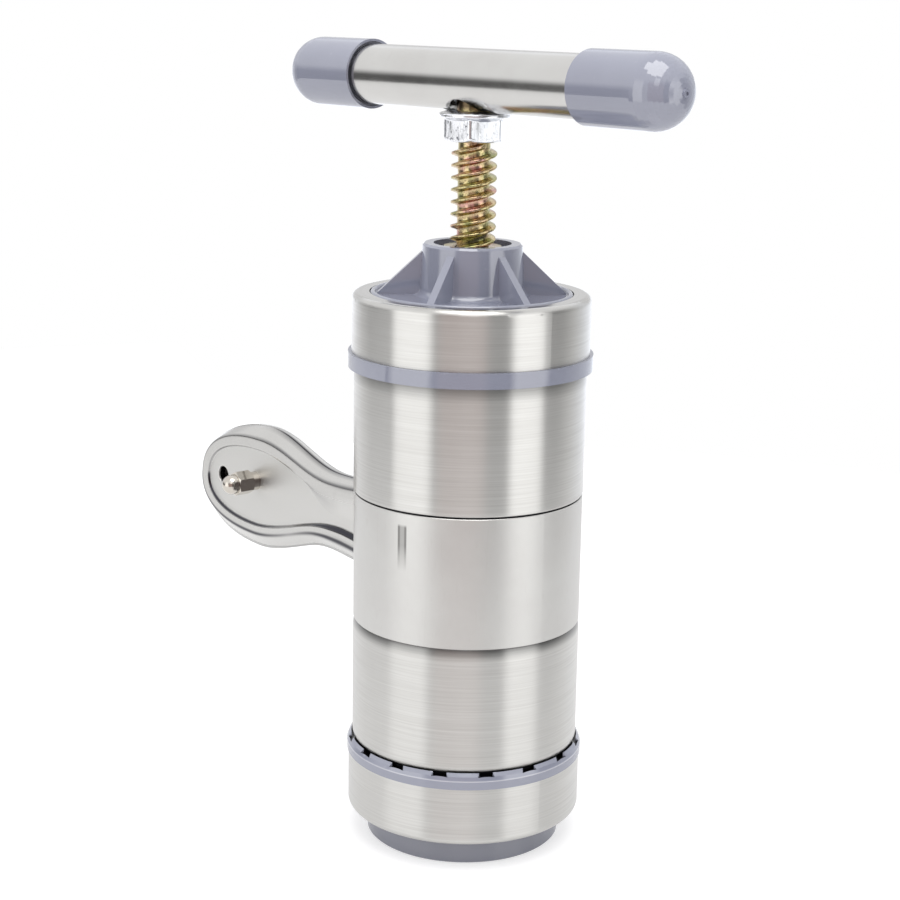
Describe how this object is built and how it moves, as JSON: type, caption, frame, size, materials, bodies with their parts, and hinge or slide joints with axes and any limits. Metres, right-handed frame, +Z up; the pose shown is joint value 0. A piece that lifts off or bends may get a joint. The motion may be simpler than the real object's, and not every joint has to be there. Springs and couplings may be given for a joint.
{
  "type": "pasta extruder with crank",
  "caption": "Hand-cranked screw press for pasta: steel barrel with a stamped side handle, ribbed screw cap, T-bar crank on a coarse spindle, and a die ring at the outlet.",
  "frame": {"origin": "on the barrel axis, in the plane of the outlet ring's lower face, which the press stands on", "axes": "+Z up along the barrel and the spindle, the side handle points along -X, and the acorn nut of the handle faces -Y"},
  "size_m": [0.25, 0.0806, 0.2657],
  "materials": {
    "brushed_steel": "brushed around the axis",
    "polished_steel": "polished",
    "grey_plastic": "glossy, moulded",
    "yellow_zinc": "yellow passivated zinc",
    "white_zinc": "bright zinc",
    "nickel": "nickel plated",
    "die_plastic": "satin, moulded",
    "seal_rubber": "soft, pale"
  },
  "bodies": {
    "barrel": {"barrel_sleeve": "brushed_steel", "chamber_liner": "grey_plastic", "handle_band": "polished_steel", "handle_shell_front": "polished_steel", "handle_shell_rear": "polished_steel", "handle_bolt": "nickel", "nut_collar": "nickel", "acorn_nut": "nickel", "band_rivet": "nickel"},
    "die_holder": {"die_ring": "grey_plastic", "die_ring_shell": "brushed_steel", "die_plate": "die_plastic"},
    "screw_cap": {"cap_insert": "grey_plastic", "cap_shell": "brushed_steel", "spindle_bush": "yellow_zinc"},
    "piston": {"piston_plate": "grey_plastic", "piston_seal": "seal_rubber"},
    "crank": {"spindle": "yellow_zinc", "flange_nut": "white_zinc", "t_bar_tube": "polished_steel", "t_bar_cap_left": "grey_plastic", "t_bar_cap_right": "grey_plastic", "t_bar_dowel": "white_zinc", "piston_washer": "white_zinc", "piston_screw": "white_zinc"}
  },
  "joints": [
    {"name": "cap_lift", "type": "slide", "parent": "barrel", "child": "screw_cap", "axis": [0, 0, 1], "range_m": [0, 0.14]},
    {"name": "die_ring_drop", "type": "slide", "parent": "barrel", "child": "die_holder", "axis": [0, 0, -1], "range_m": [0, 0.035]},
    {"name": "piston_slide", "type": "slide", "parent": "screw_cap", "child": "piston", "axis": [0, 0, 1], "range_m": [-0.0315, 0.112]},
    {"name": "spindle_turn", "type": "hinge", "parent": "piston", "child": "crank", "pos_m": [0, 0, 0.0579], "axis": [0, 0, 1], "range_deg": [-1453.5, 5169]}
  ],
  "couplings": [
    {"joint": "piston_slide", "follows": "spindle_turn", "m_per_rad": 0.0012414}
  ]
}
